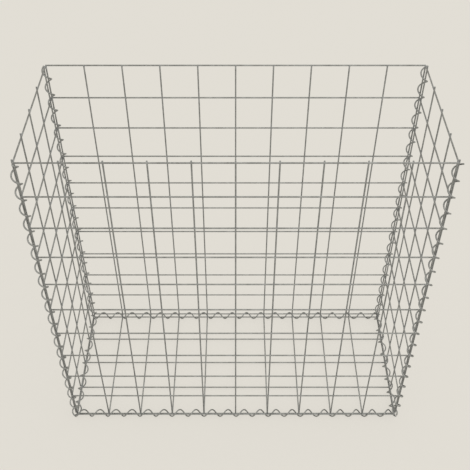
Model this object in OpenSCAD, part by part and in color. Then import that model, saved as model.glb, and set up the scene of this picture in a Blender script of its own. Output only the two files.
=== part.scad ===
// Empty gabion basket: five welded wire panels, open at the top,
// laced together along every edge by left-hand spiral binders.
// Millimetres. X runs along the wall, Y through it, Z up.
// The origin is under the middle of the basket, on the ground.

/* [Mesh] */
// Spacing of the wires, centre to centre
cell = 100; // [80:5:150]
// Cells along the wall
cells_x = 10; // [3:1:14]
// Cells through the wall
cells_y = 4; // [2:1:10]
// Cells up the wall
cells_z = 10; // [3:1:12]
// Diameter of the mesh wire
wire_d = 4; // [3:0.1:5]
// Depth that the weld presses one wire into the other
weld_sink = 0.4; // [0.3:0.05:0.8]
// Free end of the uprights, beyond the middle of the last rail
free_end = 4.5; // [3:0.5:7]

/* [Assembly] */
// Space between the wires of neighbouring panels
panel_gap = 0.3; // [0.2:0.05:0.6]
// Distance of an end panel's rails outside the last wire of the base
end_offset = 1.5; // [0:0.1:2.5]

/* [Spiral binders] */
// Diameter of the spiral's wire
spiral_wire_d = 4; // [3:0.1:4.5]
// Turns of the spiral in each cell
turns_per_cell = 2; // [1:1:2]
// Looseness of a spiral on the widest pair of wires that it binds
spiral_play = 0.6; // [0.3:0.1:1.2]
// Length by which a lower spiral stands out at each end of the mesh
overhang = 6.5; // [5:0.5:7]
// Space between a spiral and the wires that it lies against
spiral_gap = 0.2; // [0.15:0.05:0.4]

/* [Hidden] */

zinc = [0.56, 0.57, 0.56];
bar_sides = 8;
coil_sides = 4;
coil_steps = 12;

// Radius of a polygon with the section of a round wire of radius 1
function even_area(sides) = sqrt(2 * PI / (sides * sin(360 / sides)));

wire_r = wire_d / 2;
layer = wire_d - weld_sink;
half_x = cells_x * cell / 2;
half_y = cells_y * cell / 2;
height = cells_z * cell;
lap = wire_d + panel_gap;

// The front and back stand outside the ends of the other three panels
upright_y = half_y + lap;
rail_y = upright_y + layer;
// The end panels stand over the outermost wires of the base
end_rail_x = half_x + end_offset;
end_upright_x = end_rail_x + layer;
// Drop from the lowest rails to the two layers of the base
cross_drop = lap;
long_drop = lap + layer;

// The widest pair of wires, along the long lower edges, sets the bore
pair_half = norm([rail_y - half_y, long_drop]) / 2;
// Distance of a spiral's axis from a wire that the spiral lies against
reach = pair_half + spiral_play;
coil_point_r = spiral_wire_d / 2 * even_area(coil_sides);
coil_flat_r = coil_point_r * cos(180 / coil_sides);
coil_r = (reach + wire_r + spiral_gap) / cos(180 / coil_steps) + coil_flat_r;
// Part of a turn that the upright spirals stop short of the lowest rails
corner_trim = 1 / 6;
corner_foot = corner_trim * cell / turns_per_cell;

// The corner spirals are pushed outwards onto the last upright of the end panels
corner_x = (half_x + end_upright_x) / 2;
corner_side = (end_upright_x - half_x) / 2;
corner_y = half_y + sqrt(reach * reach - corner_side * corner_side);
// The long lower spirals are pushed up and inwards onto both of their wires
long_move = sqrt(reach * reach - pair_half * pair_half) / (2 * pair_half);
long_y = (half_y + rail_y) / 2 - long_move * long_drop;
rise = long_move * (rail_y - half_y) - long_drop / 2;
// The short lower spirals lie on the ground, level with the long ones
end_x = (half_x + end_rail_x) / 2;

// Angle of each spiral at its first end, so that it clears every wire that crosses it
front_left_start = 213;
front_right_start = 266;
back_left_start = 18;
back_right_start = 314;
base_front_start = 225;
base_back_start = 315;
base_left_start = 235;
base_right_start = 124;

long_length = 2 * (half_x + overhang);
long_pitch = long_length / (cells_x * turns_per_cell);
end_length = 2 * (half_y + overhang);
end_pitch = end_length / (cells_y * turns_per_cell);

// Lowest point of a coil on its side; up is the coordinate that points upwards
function coil_low(start, pitch, up) =
    min([for (i = [0 : coil_steps - 1], p = coil_ring(i / coil_steps, start, pitch)) p[up]]);

// Height of the lowest rails, with the lower spirals on the ground
lowest = min(
    coil_low(base_front_start, long_pitch, 1),
    coil_low(base_back_start, long_pitch, 1),
    coil_low(base_left_start, end_pitch, 0),
    coil_low(base_right_start, end_pitch, 0)
);
ground = -rise - lowest;

// A straight wire from z = 0 upwards, with flats towards its neighbours
module wire(length) {
    rotate(180 / bar_sides)
        cylinder(r = wire_r * even_area(bar_sides), h = length, $fn = bar_sides);
}

// Welded mesh in the XZ plane with its lowest rail at z = 0 and its uprights
// at y = 0. The rails lie a layer away, on the side that rail_side gives.
module mesh(cells_across, cells_up, rail_side, top_end) {
    across = cells_across * cell;
    up = cells_up * cell;
    union() {
        for (i = [0 : cells_across])
            translate([i * cell - across / 2, 0, -wire_r])
                wire(up + wire_r + top_end);
        for (k = [0 : cells_up])
            translate([-across / 2 - wire_r, rail_side * layer, k * cell])
                rotate([0, 90, 0]) wire(across + wire_d);
    }
}

module front_panel() {
    color(zinc)
        translate([0, -upright_y, ground])
            mesh(cells_x, cells_z, -1, free_end);
}

// The front's panel turned over, so that its free ends point down
module back_panel() {
    color(zinc)
        translate([0, upright_y, ground + height])
            rotate([180, 0, 0]) mesh(cells_x, cells_z, -1, free_end);
}

// The uprights are on the outside and the rails on the inside
module end_panel(side) {
    color(zinc)
        translate([side * end_upright_x, 0, ground])
            rotate(side * 90) mesh(cells_y, cells_z, 1, free_end);
}

// The cross wires lie on the long wires
module base_panel() {
    color(zinc)
        translate([0, -half_y, ground - cross_drop])
            rotate([-90, 0, 0]) mesh(cells_x, cells_y, 1, wire_r);
}

// One ring of points around the coil's wire, square to the helix
function coil_ring(turn, start, pitch) =
    let (angle = start - 360 * turn,
         out = [cos(angle), sin(angle), 0],
         around = 2 * PI * coil_r * [sin(angle), -cos(angle), 0],
         along = around + [0, 0, pitch],
         side = cross(out, along / norm(along)),
         middle = coil_r * out + [0, 0, pitch * turn])
    [for (s = [0 : coil_sides - 1])
        let (a = 360 * (s + 1 / 2) / coil_sides)
        middle + coil_point_r * (cos(a) * out + sin(a) * side)];

// Left-hand coil up the Z axis from z = 0, at the angle start there
module coil(turns, length, start) {
    rings = round(turns * coil_steps);
    points = [
        for (i = [0 : rings]) each coil_ring(turns * i / rings, start, length / turns)
    ];
    first_cap = [for (s = [0 : coil_sides - 1]) s];
    last_cap = [for (s = [coil_sides - 1 : -1 : 0]) rings * coil_sides + s];
    // The side towards the axis is split the other way, so that it is hollow
    inner_side = coil_sides / 2 - 1;
    skin = [
        for (i = [0 : rings - 1], s = [0 : coil_sides - 1])
            let (a = i * coil_sides + s,
                 b = i * coil_sides + (s + 1) % coil_sides)
            each s == inner_side
                ? [[a, a + coil_sides, b + coil_sides], [a, b + coil_sides, b]]
                : [[a, a + coil_sides, b], [b, a + coil_sides, b + coil_sides]]
    ];
    polyhedron(points = points, faces = concat([first_cap], skin, [last_cap]));
}

// Upright spiral at a corner of the basket
module corner_spiral(side, face, start) {
    color(zinc)
        translate([side * corner_x, face * corner_y, ground + corner_foot])
            coil(cells_z * turns_per_cell - corner_trim, height - corner_foot, start);
}

// Spiral along the front or back of the base; its angle runs from Y to Z
module long_spiral(face, start) {
    color(zinc)
        translate([-long_length / 2, face * long_y, ground + rise])
            rotate([90, 0, 90]) coil(cells_x * turns_per_cell, long_length, start);
}

// Spiral along one end of the base; its angle runs from Z to X
module end_spiral(side, start) {
    color(zinc)
        translate([side * end_x, -end_length / 2, ground + rise])
            rotate([0, -90, -90]) coil(cells_y * turns_per_cell, end_length, start);
}

front_panel();
back_panel();
end_panel(-1);  // left_panel
end_panel(1);  // right_panel
base_panel();
corner_spiral(-1, -1, front_left_start);  // front_left_spiral
corner_spiral(1, -1, front_right_start);  // front_right_spiral
corner_spiral(-1, 1, back_left_start);  // back_left_spiral
corner_spiral(1, 1, back_right_start);  // back_right_spiral
long_spiral(-1, base_front_start);  // base_front_spiral
long_spiral(1, base_back_start);  // base_back_spiral
end_spiral(-1, base_left_start);  // base_left_spiral
end_spiral(1, base_right_start);  // base_right_spiral
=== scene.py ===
import math

import bpy
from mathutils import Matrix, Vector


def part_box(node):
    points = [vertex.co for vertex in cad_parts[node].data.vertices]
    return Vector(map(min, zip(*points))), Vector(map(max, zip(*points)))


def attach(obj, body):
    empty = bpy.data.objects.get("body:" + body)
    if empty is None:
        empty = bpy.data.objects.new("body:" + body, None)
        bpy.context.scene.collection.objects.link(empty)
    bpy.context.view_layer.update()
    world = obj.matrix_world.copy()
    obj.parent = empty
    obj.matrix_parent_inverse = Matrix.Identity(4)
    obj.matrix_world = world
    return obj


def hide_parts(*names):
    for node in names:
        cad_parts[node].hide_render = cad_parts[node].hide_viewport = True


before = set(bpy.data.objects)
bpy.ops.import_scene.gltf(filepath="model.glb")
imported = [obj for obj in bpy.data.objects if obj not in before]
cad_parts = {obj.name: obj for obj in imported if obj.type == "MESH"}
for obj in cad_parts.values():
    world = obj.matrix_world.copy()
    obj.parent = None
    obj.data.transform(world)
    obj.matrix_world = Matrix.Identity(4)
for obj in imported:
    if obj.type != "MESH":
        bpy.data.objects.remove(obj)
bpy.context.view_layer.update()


# Front panel: drawn steel wire, resistance-welded into a grid of square cells
# and hot-dip galvanised. The rails lie on the outside of the uprights, and the
# uprights run on past the top rail as short free ends.
WIRE_R = 0.002
WIRE_SIDES = 14
CELL = 0.1
LAYER = 0.0036
LONG_CELLS = 10
HIGH_CELLS = 10
FREE_END = 0.003
CUT_BEVEL = 0.0003
CUT_SEGMENTS = 2
WELD_SIZE = (0.0028, 0.001, 0.0028)
WELD_SIDES = 10
WELD_RINGS = 6
MESH_CREASE = math.radians(40)
front_low, front_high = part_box("front_panel")
RAIL_Z = front_low.z + WIRE_R
UPRIGHT_Y = WIRE_R - front_high.y


def put_down(piece):
    """Leaves the piece's object at the origin, with its place in the mesh."""
    bpy.ops.object.select_all(action="DESELECT")
    piece.select_set(True)
    bpy.context.view_layer.objects.active = piece
    bpy.ops.object.transform_apply(location=True, rotation=True, scale=True)
    return piece


def repeat(piece, count, step):
    """Copies the piece along a line, each copy one step further."""
    row = piece.modifiers.new("row", "ARRAY")
    row.count = count
    row.use_relative_offset = False
    row.use_constant_offset = True
    row.constant_offset_displace = step
    bpy.context.view_layer.objects.active = piece
    bpy.ops.object.modifier_apply(modifier=row.name)


def round_cuts(piece):
    """Rounds the cropped ends of wires, as the zinc leaves their cut edges."""
    bpy.ops.object.mode_set(mode="EDIT")
    bpy.ops.mesh.select_mode(type="FACE")
    bpy.ops.mesh.select_all(action="DESELECT")
    bpy.ops.object.mode_set(mode="OBJECT")
    for face in piece.data.polygons:
        face.select = len(face.vertices) > 4
    bpy.ops.object.mode_set(mode="EDIT")
    bpy.ops.mesh.select_mode(type="EDGE")
    bpy.ops.mesh.region_to_loop()
    bpy.ops.mesh.bevel(offset=CUT_BEVEL, segments=CUT_SEGMENTS)
    bpy.ops.object.mode_set(mode="OBJECT")


def draw_wire(length, middle, turn):
    """One straight wire, cropped at both ends."""
    bpy.ops.object.select_all(action="DESELECT")
    bpy.ops.mesh.primitive_cylinder_add(
        vertices=WIRE_SIDES, radius=WIRE_R, depth=length, location=middle, rotation=turn)
    wire = put_down(bpy.context.object)
    round_cuts(wire)
    return wire


def weld_spot(middle):
    """The small pad of metal that a weld squeezes out between two wires."""
    bpy.ops.object.select_all(action="DESELECT")
    bpy.ops.mesh.primitive_uv_sphere_add(
        segments=WELD_SIDES, ring_count=WELD_RINGS, radius=1, location=middle,
        rotation=(math.pi / 2, 0, math.pi / WELD_SIDES))
    spot = bpy.context.object
    bpy.ops.object.transform_apply(location=False, rotation=True, scale=False)
    spot.scale = WELD_SIZE
    return put_down(spot)


def weld_panel(name, cells_across, cells_up, rail_side, top_end):
    """A welded panel in the XZ plane, uprights at y = 0, lowest rail at z = 0."""
    across = cells_across * CELL
    upright_length = cells_up * CELL + WIRE_R + top_end
    upright = draw_wire(
        upright_length, (-across / 2, 0, upright_length / 2 - WIRE_R), (0, 0, 0))
    repeat(upright, cells_across + 1, (CELL, 0, 0))
    rail = draw_wire(
        across + 2 * WIRE_R, (0, rail_side * LAYER, 0), (0, math.pi / 2, 0))
    repeat(rail, cells_up + 1, (0, 0, CELL))
    spot = weld_spot((-across / 2, rail_side * LAYER / 2, 0))
    repeat(spot, cells_across + 1, (CELL, 0, 0))
    repeat(spot, cells_up + 1, (0, 0, CELL))
    bpy.ops.object.select_all(action="DESELECT")
    for piece in (upright, rail, spot):
        piece.select_set(True)
    bpy.context.view_layer.objects.active = upright
    bpy.ops.object.join()
    bpy.ops.object.shade_smooth_by_angle(angle=MESH_CREASE)
    upright.name = name
    return upright


class Shade:
    """A value on its way through the nodes of one material."""

    def __init__(self, tree, socket):
        self.tree = tree
        self.socket = socket

    def node(self, kind, settings, sockets, out=0):
        made = self.tree.nodes.new(kind)
        for key, value in settings.items():
            setattr(made, key, value)
        for key, value in sockets.items():
            if isinstance(value, Shade):
                self.tree.links.new(value.socket, made.inputs[key])
            else:
                made.inputs[key].default_value = value
        return Shade(self.tree, made.outputs[out])

    def math(self, operation, first, second):
        return self.node("ShaderNodeMath", {"operation": operation}, {0: first, 1: second})

    def __add__(self, other):
        return self.math("ADD", self, other)

    def __radd__(self, other):
        return self.math("ADD", other, self)

    def __sub__(self, other):
        return self.math("SUBTRACT", self, other)

    def __rsub__(self, other):
        return self.math("SUBTRACT", other, self)

    def __mul__(self, other):
        return self.math("MULTIPLY", self, other)

    def __rmul__(self, other):
        return self.math("MULTIPLY", other, self)

    def __pow__(self, other):
        return self.math("POWER", self, other)

    def noise(self, scale, detail, roughness):
        return self.node(
            "ShaderNodeTexNoise", {},
            {"Vector": self, "Scale": scale, "Detail": detail, "Roughness": roughness})

    def ramp(self, low, high):
        return self.node(
            "ShaderNodeMapRange", {"interpolation_type": "SMOOTHSTEP"},
            {"Value": self, "From Min": low, "From Max": high})

    def blend(self, first, second):
        return self.node(
            "ShaderNodeMix", {"data_type": "RGBA"}, {0: self, 6: first, 7: second}, out=2)


# The zinc's crystals, softer patches and fine grain, and how much each of them
# tells in the tone and the relief of the coat
SPANGLE_SCALE = 430.0
SPANGLE_SHARE = 0.55
SPANGLE_ROUGH = 0.14
MOTTLE_SCALE = 55.0
MOTTLE_RANGE = (0.3, 0.7)
MOTTLE_SHARE = 0.45
MOTTLE_HEIGHT = 0.8
GRAIN_SCALE = 1500.0
GRAIN_HEIGHT = 0.6
BUMP_STRENGTH = 0.45
BUMP_DISTANCE = 0.0002
CLEAN_ROUGH = 0.34
# The grey-white bloom of weathered zinc, which the heat of a weld brings on
BLOOM_SCALE = 26.0
BLOOM_RANGE = (0.54, 0.72)
BLOOM_COVER = 0.6
BLOOM_ROUGH = 0.22
BLOOM_DULLS = 0.45
HEAT_EDGE = 0.013
HEAT_CORE = 0.004
HEAT_LEAST = 0.35
HEAT_MOTTLE = 0.5


def zinc(name, dark, light, powder, welded):
    """Dull zinc on wire: spangle, a soft mottle, fine grain and grey-white bloom."""
    material = bpy.data.materials.new(name)
    material.use_nodes = True
    tree = material.node_tree
    shader = tree.nodes["Principled BSDF"]
    place = Shade(tree, tree.nodes.new("ShaderNodeTexCoord").outputs["Object"])
    mottle = place.noise(MOTTLE_SCALE, detail=4.0, roughness=0.6)
    grain = place.noise(GRAIN_SCALE, detail=3.0, roughness=0.6)
    bloom = place.noise(BLOOM_SCALE, detail=6.0, roughness=0.7).ramp(*BLOOM_RANGE)
    crystals = place.node(
        "ShaderNodeTexVoronoi", {"feature": "F1"},
        {"Vector": place, "Scale": SPANGLE_SCALE, "Randomness": 1.0}, out="Color")
    spangle = place.node("ShaderNodeSeparateColor", {}, {"Color": crystals}, out="Red")
    if welded:
        axes = [place.node("ShaderNodeSeparateXYZ", {}, {"Vector": place}, out=axis)
                for axis in ("X", "Y", "Z")]
        axes[2] = axes[2] - RAIL_Z
        near = [axis.math("PINGPONG", axis, CELL / 2) for axis in axes]
        reach = (near[0] * near[0] + near[1] * near[1] + near[2] * near[2]) ** 0.5
        heat = reach.ramp(HEAT_EDGE, HEAT_CORE)
        bloom = bloom.math("MAXIMUM", bloom, heat * (HEAT_LEAST + HEAT_MOTTLE * mottle))
    tone = mottle.ramp(*MOTTLE_RANGE) * MOTTLE_SHARE + spangle * SPANGLE_SHARE
    colour = (bloom * BLOOM_COVER).blend(tone.blend(dark, light), powder)
    rough = CLEAN_ROUGH + SPANGLE_ROUGH * spangle + BLOOM_ROUGH * bloom
    metal = 1 - BLOOM_DULLS * bloom
    relief = grain * GRAIN_HEIGHT + mottle * MOTTLE_HEIGHT
    bump = place.node(
        "ShaderNodeBump", {},
        {"Strength": BUMP_STRENGTH, "Distance": BUMP_DISTANCE, "Height": relief})
    for key, value in (("Base Color", colour), ("Roughness", rough),
                       ("Metallic", metal), ("Normal", bump)):
        tree.links.new(value.socket, shader.inputs[key])
    return material


mesh_zinc = zinc(
    "mesh_zinc", dark=(0.2, 0.206, 0.203, 1), light=(0.425, 0.436, 0.43, 1),
    powder=(0.43, 0.44, 0.435, 1), welded=True)


def fit_panel(panel, node):
    """Finishes a panel that stands in for one of the CAD model's."""
    panel.data.materials.clear()
    panel.data.materials.append(mesh_zinc)
    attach(panel, "root")
    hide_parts(node)


front = weld_panel("front_mesh", LONG_CELLS, HIGH_CELLS, -1, FREE_END)
front.location = (0, -UPRIGHT_Y, RAIL_Z)
fit_panel(put_down(front), "front_panel")


# Back panel: the same welded panel turned over, so that its rails are again on
# the outside, its free ends point down and its top is flush with the rail.
back = weld_panel("back_mesh", LONG_CELLS, HIGH_CELLS, -1, FREE_END)
back.rotation_euler = (math.pi, 0, 0)
back.location = (0, UPRIGHT_Y, RAIL_Z + HIGH_CELLS * CELL)
fit_panel(put_down(back), "back_panel")


# End panels: narrower panels of the same mesh between front and back, with the
# uprights on the outside and free ends at the top.
DEEP_CELLS = 4
_, end_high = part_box("right_panel")
END_X = end_high.x - WIRE_R
for side, name in ((-1, "left"), (1, "right")):
    end = weld_panel(name + "_mesh", DEEP_CELLS, HIGH_CELLS, 1, FREE_END)
    end.rotation_euler = (0, 0, side * math.pi / 2)
    end.location = (side * END_X, 0, RAIL_Z)
    fit_panel(put_down(end), name + "_panel")


# Base panel: the floor of the basket, its cross wires lying on its long wires,
# all cropped flush, just under the lowest rails of the four walls.
_, base_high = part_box("base_panel")
base = weld_panel("base_mesh", LONG_CELLS, DEEP_CELLS, 1, WIRE_R)
base.rotation_euler = (-math.pi / 2, 0, 0)
base.location = (0, -DEEP_CELLS * CELL / 2, base_high.z - WIRE_R)
fit_panel(put_down(base), "base_panel")


# Spiral binders: springy zinc-coated wire wound left-handed, two turns to each
# cell, screwed along each edge around the two wires that meet there. The back
# pair is cropped a little below the top rail, and one foot reaches lower.
SPIRAL_R = 0.01028
SPIRAL_WIRE_R = 0.002
SPIRAL_SIDES = 12
SPIRAL_CREASE = math.radians(50)
TURNS_PER_CELL = 2
TURN_STEPS = 28
# Parts of a turn that a coil stops short of the lowest and highest rails
CORNER_TRIM = 1 / 6
LOW_TRIM = 1 / 15
BACK_TRIM = 1 / 8
# Degrees at the foot of each coil, and its trims at the foot and the head
CORNERS = (
    ("front_left", 249, LOW_TRIM, 0),
    ("front_right", 266, CORNER_TRIM, 0),
    ("back_left", 18, CORNER_TRIM, BACK_TRIM),
    ("back_right", 314, CORNER_TRIM, BACK_TRIM))
spiral_zinc = zinc(
    "spiral_zinc", dark=(0.207, 0.213, 0.21, 1), light=(0.435, 0.446, 0.44, 1),
    powder=(0.44, 0.45, 0.445, 1), welded=False)


def wind_spiral(name, turns, length, start, lay, foot):
    """A coil up from its foot, laid along an edge, at the CAD model's angle."""
    lead = math.atan(length / turns / (2 * math.pi * SPIRAL_R))
    bpy.ops.object.select_all(action="DESELECT")
    bpy.ops.mesh.primitive_circle_add(
        vertices=SPIRAL_SIDES, radius=SPIRAL_WIRE_R, fill_type="NOTHING",
        location=(SPIRAL_R, 0, 0), rotation=(math.pi / 2, 0, 0))
    spiral = bpy.context.object
    bpy.ops.object.mode_set(mode="EDIT")
    bpy.ops.transform.resize(value=(1, 1, 1 / math.cos(lead)))
    bpy.ops.object.mode_set(mode="OBJECT")
    put_down(spiral)
    wound = spiral.modifiers.new("wound", "SCREW")
    wound.axis = "Z"
    wound.angle = -2 * math.pi * turns
    wound.screw_offset = length
    wound.steps = wound.render_steps = round(TURN_STEPS * turns)
    bpy.ops.object.modifier_apply(modifier=wound.name)
    bpy.ops.object.mode_set(mode="EDIT")
    bpy.ops.mesh.select_all(action="SELECT")
    bpy.ops.mesh.fill_holes(sides=0)
    bpy.ops.mesh.select_all(action="SELECT")
    bpy.ops.mesh.normals_make_consistent(inside=False)
    bpy.ops.object.mode_set(mode="OBJECT")
    round_cuts(spiral)
    spiral.rotation_euler = (0, 0, math.radians(start))
    put_down(spiral)
    bpy.ops.object.shade_smooth_by_angle(angle=SPIRAL_CREASE)
    spiral.rotation_euler = lay
    spiral.location = foot
    put_down(spiral)
    spiral.name = name + "_binder"
    spiral.data.materials.append(spiral_zinc)
    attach(spiral, "root")
    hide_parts(name + "_spiral")


def axis_of(name):
    """The middle of a CAD spiral, which its axis passes through."""
    low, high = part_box(name + "_spiral")
    return (low + high) / 2


for name, start, foot_trim, head_trim in CORNERS:
    axis = axis_of(name)
    foot = foot_trim * CELL / TURNS_PER_CELL
    turns = HIGH_CELLS * TURNS_PER_CELL - foot_trim - head_trim
    wind_spiral(
        name, turns, turns * CELL / TURNS_PER_CELL, start, (0, 0, 0),
        (axis.x, axis.y, RAIL_Z + foot))


# Lower binders: the same spirals along the four edges of the base, drawn out a
# little so that they stand out at the corners. They carry the basket on the
# ground.
OVERHANG = 0.0065
LONG_LENGTH = LONG_CELLS * CELL + 2 * OVERHANG
END_LENGTH = DEEP_CELLS * CELL + 2 * OVERHANG
LONG_STARTS = {"base_front": 225, "base_back": 315}
END_STARTS = {"base_left": 235, "base_right": 124}
for name, start in LONG_STARTS.items():
    axis = axis_of(name)
    wind_spiral(
        name, LONG_CELLS * TURNS_PER_CELL, LONG_LENGTH, start,
        (math.pi / 2, 0, math.pi / 2), (-LONG_LENGTH / 2, axis.y, axis.z))
for name, start in END_STARTS.items():
    axis = axis_of(name)
    wind_spiral(
        name, DEEP_CELLS * TURNS_PER_CELL, END_LENGTH, start,
        (0, -math.pi / 2, -math.pi / 2), (axis.x, -END_LENGTH / 2, axis.z))


# Studio: a wide pale floor that fills the picture, under an even soft sky with
# one large soft lamp above, so that thin wires cast hardly any shadow.
BACKDROP = (0.765, 0.734, 0.668, 1)
FLOOR_SIZE = 60
FLOOR_Z = -0.0002
GLOW_SHARE = 0.8
SKY_STRENGTH = 0.72
LAMP_STRENGTH = 0.9
LAMP_SPREAD = math.radians(100)
LAMP_TILT = (math.radians(20), math.radians(25), 0)
bpy.ops.object.select_all(action="DESELECT")
bpy.ops.mesh.primitive_plane_add(size=FLOOR_SIZE, location=(0, 0, FLOOR_Z))
floor = bpy.context.object
floor.name = "floor"
paper = bpy.data.materials.new("paper")
paper.use_nodes = True
paper_tree = paper.node_tree
paper_shader = paper_tree.nodes["Principled BSDF"]
paper_shader.inputs["Base Color"].default_value = BACKDROP
paper_shader.inputs["Roughness"].default_value = 1.0
paper_shader.inputs["Specular IOR Level"].default_value = 0.0
glow = paper_tree.nodes.new("ShaderNodeEmission")
glow.inputs["Color"].default_value = BACKDROP


def seen_rays(tree):
    """One for the rays that the camera, a reflection or clear glass sends out."""
    rays = tree.nodes.new("ShaderNodeLightPath").outputs
    seen = Shade(tree, rays["Is Camera Ray"])
    for kind in ("Is Glossy Ray", "Is Transmission Ray"):
        seen = seen.math("MAXIMUM", seen, Shade(tree, rays[kind]))
    return seen


def mix_shaders(share, first, second, surface):
    """Links a mix of two shaders to the output that a tree ends in."""
    mixed = share.node(
        "ShaderNodeMixShader", {},
        {0: share, 1: Shade(share.tree, first.outputs[0]),
         2: Shade(share.tree, second.outputs[0])})
    share.tree.links.new(mixed.socket, surface.inputs["Surface"])


mix_shaders(
    seen_rays(paper_tree) * GLOW_SHARE, paper_shader, glow,
    paper_tree.nodes["Material Output"])
floor.data.materials.append(paper)

world = bpy.data.worlds.new("sky")
bpy.context.scene.world = world
world.use_nodes = True
sky_tree = world.node_tree
sky = sky_tree.nodes["Background"]
sky.inputs["Color"].default_value = (1, 1, 1, 1)
sky.inputs["Strength"].default_value = SKY_STRENGTH
backdrop = sky_tree.nodes.new("ShaderNodeBackground")
backdrop.inputs["Color"].default_value = BACKDROP
mix_shaders(seen_rays(sky_tree), sky, backdrop, sky_tree.nodes["World Output"])

lamp = bpy.data.lights.new("soft_lamp", "SUN")
lamp.energy = LAMP_STRENGTH
lamp.angle = LAMP_SPREAD
lamp_object = bpy.data.objects.new("soft_lamp", lamp)
lamp_object.rotation_euler = LAMP_TILT
bpy.context.scene.collection.objects.link(lamp_object)


# Camera: square in front of the basket and above it, looking down into it,
# with the lens shifted a little to frame it.
FILM_WIDTH = 36
LENS = 58.53
SHIFT_X = -0.0009
SHIFT_Y = 0.019
EYE_X = -0.0006
EYE_BACK = 1.3639
EYE_UP = 2.0625
LOOK_DOWN = math.radians(44.037)
camera = bpy.data.cameras.new("camera")
camera.sensor_width = FILM_WIDTH
camera.lens = LENS
camera.shift_x = SHIFT_X
camera.shift_y = SHIFT_Y
camera_object = bpy.data.objects.new("camera", camera)
camera_object.location = (EYE_X, -UPRIGHT_Y - EYE_BACK, RAIL_Z + EYE_UP)
camera_object.rotation_euler = (math.pi / 2 - LOOK_DOWN, 0, 0)
bpy.context.scene.collection.objects.link(camera_object)
bpy.context.scene.camera = camera_object

bpy.context.scene.view_settings.view_transform = "Standard"
